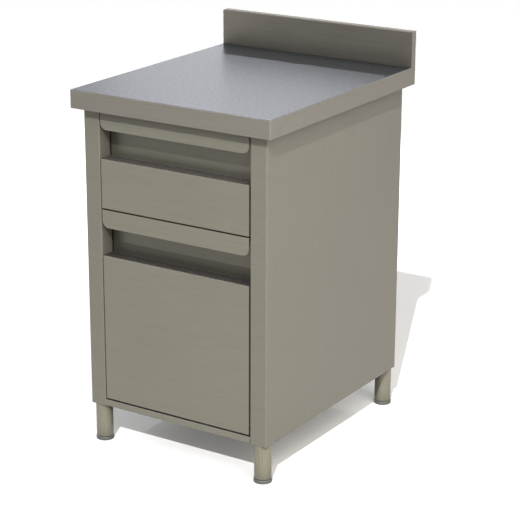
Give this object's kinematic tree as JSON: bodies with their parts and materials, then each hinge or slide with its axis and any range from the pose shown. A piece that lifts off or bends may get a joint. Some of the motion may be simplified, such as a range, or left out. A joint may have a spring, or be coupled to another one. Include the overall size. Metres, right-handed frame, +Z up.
{
  "type": "drawer cabinet",
  "caption": "Free-standing stainless steel drawer unit with a folded worktop, rear upstand, full-width grip recesses, ball runners and round adjustable legs.",
  "frame": {"origin": "on the floor, under the centre of the worktop's footprint", "axes": "+X to the right as seen from the front, +Y to the back, +Z up"},
  "size_m": [0.5, 0.6, 0.88],
  "materials": {
    "worktop_steel": "fine brushed stainless steel",
    "side_steel": "stainless steel brushed along its height",
    "front_steel": "stainless steel brushed along its width",
    "back_steel": "mill finish stainless steel",
    "tray_steel": "mill finish stainless steel",
    "inner_steel": "mill finish stainless steel",
    "leg_steel": "stainless steel tube, brushed round",
    "runner_zinc": "bright zinc plate",
    "cage_steel": "passivated zinc plate",
    "fastener_steel": "bright stainless steel",
    "core_board": "chipboard",
    "plug_plastic": "moulded plastic",
    "foot_plastic": "moulded plastic"
  },
  "bodies": {
    "cabinet": {"worktop": "worktop_steel", "worktop_core": "core_board", "worktop_stiffeners": "inner_steel", "worktop_bolts": "fastener_steel", "left_side_panel": "side_steel", "right_side_panel": "side_steel", "back_panel": "back_steel", "back_rivets": "fastener_steel", "bottom_panel": "front_steel", "front_top_rail": "inner_steel", "rear_top_rail": "inner_steel", "runner_screws": "fastener_steel", "leg_plate_front_left": "inner_steel", "leg_plate_front_right": "inner_steel", "leg_plate_rear_left": "inner_steel", "leg_plate_rear_right": "inner_steel", "leg_front_left": "leg_steel", "leg_front_right": "leg_steel", "leg_rear_left": "leg_steel", "leg_rear_right": "leg_steel", "leg_plug_front_left": "plug_plastic", "leg_plug_front_right": "plug_plastic", "leg_plug_rear_left": "plug_plastic", "leg_plug_rear_right": "plug_plastic", "upper_left_bracket": "inner_steel", "upper_right_bracket": "inner_steel", "upper_left_cabinet_rail": "runner_zinc", "upper_right_cabinet_rail": "runner_zinc", "lower_left_bracket": "inner_steel", "lower_right_bracket": "inner_steel", "lower_left_cabinet_rail": "runner_zinc", "lower_right_cabinet_rail": "runner_zinc"},
    "upper_drawer": {"upper_front": "front_steel", "upper_front_liner": "inner_steel", "upper_tray": "tray_steel", "upper_drawer_fasteners": "fastener_steel", "upper_left_drawer_rail": "runner_zinc", "upper_right_drawer_rail": "runner_zinc"},
    "upper_middle_rails": {"upper_left_middle_rail": "runner_zinc", "upper_right_middle_rail": "runner_zinc"},
    "upper_outer_cages": {"upper_left_outer_cage": "cage_steel", "upper_right_outer_cage": "cage_steel"},
    "upper_inner_cages": {"upper_left_inner_cage": "cage_steel", "upper_right_inner_cage": "cage_steel"},
    "lower_drawer": {"lower_front": "front_steel", "lower_front_liner": "inner_steel", "lower_tray": "tray_steel", "lower_drawer_fasteners": "fastener_steel", "lower_left_drawer_rail": "runner_zinc", "lower_right_drawer_rail": "runner_zinc"},
    "lower_middle_rails": {"lower_left_middle_rail": "runner_zinc", "lower_right_middle_rail": "runner_zinc"},
    "lower_outer_cages": {"lower_left_outer_cage": "cage_steel", "lower_right_outer_cage": "cage_steel"},
    "lower_inner_cages": {"lower_left_inner_cage": "cage_steel", "lower_right_inner_cage": "cage_steel"},
    "front_left_foot": {"foot_front_left": "foot_plastic"},
    "front_right_foot": {"foot_front_right": "foot_plastic"},
    "rear_left_foot": {"foot_rear_left": "foot_plastic"},
    "rear_right_foot": {"foot_rear_right": "foot_plastic"}
  },
  "joints": [
    {"name": "upper_drawer_slide", "type": "slide", "parent": "cabinet", "child": "upper_drawer", "axis": [0, -1, 0], "range_m": [0, 0.45]},
    {"name": "upper_middle_rails_slide", "type": "slide", "parent": "cabinet", "child": "upper_middle_rails", "axis": [0, -1, 0], "range_m": [0, 0.225]},
    {"name": "upper_outer_cages_slide", "type": "slide", "parent": "cabinet", "child": "upper_outer_cages", "axis": [0, -1, 0], "range_m": [0, 0.1125]},
    {"name": "upper_inner_cages_slide", "type": "slide", "parent": "cabinet", "child": "upper_inner_cages", "axis": [0, -1, 0], "range_m": [0, 0.3375]},
    {"name": "lower_drawer_slide", "type": "slide", "parent": "cabinet", "child": "lower_drawer", "axis": [0, -1, 0], "range_m": [0, 0.45]},
    {"name": "lower_middle_rails_slide", "type": "slide", "parent": "cabinet", "child": "lower_middle_rails", "axis": [0, -1, 0], "range_m": [0, 0.225]},
    {"name": "lower_outer_cages_slide", "type": "slide", "parent": "cabinet", "child": "lower_outer_cages", "axis": [0, -1, 0], "range_m": [0, 0.1125]},
    {"name": "lower_inner_cages_slide", "type": "slide", "parent": "cabinet", "child": "lower_inner_cages", "axis": [0, -1, 0], "range_m": [0, 0.3375]},
    {"name": "front_left_foot_screw", "type": "slide", "parent": "cabinet", "child": "front_left_foot", "axis": [0, 0, -1], "range_m": [0, 0.02]},
    {"name": "front_right_foot_screw", "type": "slide", "parent": "cabinet", "child": "front_right_foot", "axis": [0, 0, -1], "range_m": [0, 0.02]},
    {"name": "rear_left_foot_screw", "type": "slide", "parent": "cabinet", "child": "rear_left_foot", "axis": [0, 0, -1], "range_m": [0, 0.02]},
    {"name": "rear_right_foot_screw", "type": "slide", "parent": "cabinet", "child": "rear_right_foot", "axis": [0, 0, -1], "range_m": [0, 0.02]}
  ],
  "couplings": [
    {"joint": "upper_middle_rails_slide", "follows": "upper_drawer_slide", "ratio": 0.5},
    {"joint": "upper_outer_cages_slide", "follows": "upper_drawer_slide", "ratio": 0.25},
    {"joint": "upper_inner_cages_slide", "follows": "upper_drawer_slide", "ratio": 0.75},
    {"joint": "lower_middle_rails_slide", "follows": "lower_drawer_slide", "ratio": 0.5},
    {"joint": "lower_outer_cages_slide", "follows": "lower_drawer_slide", "ratio": 0.25},
    {"joint": "lower_inner_cages_slide", "follows": "lower_drawer_slide", "ratio": 0.75}
  ]
}
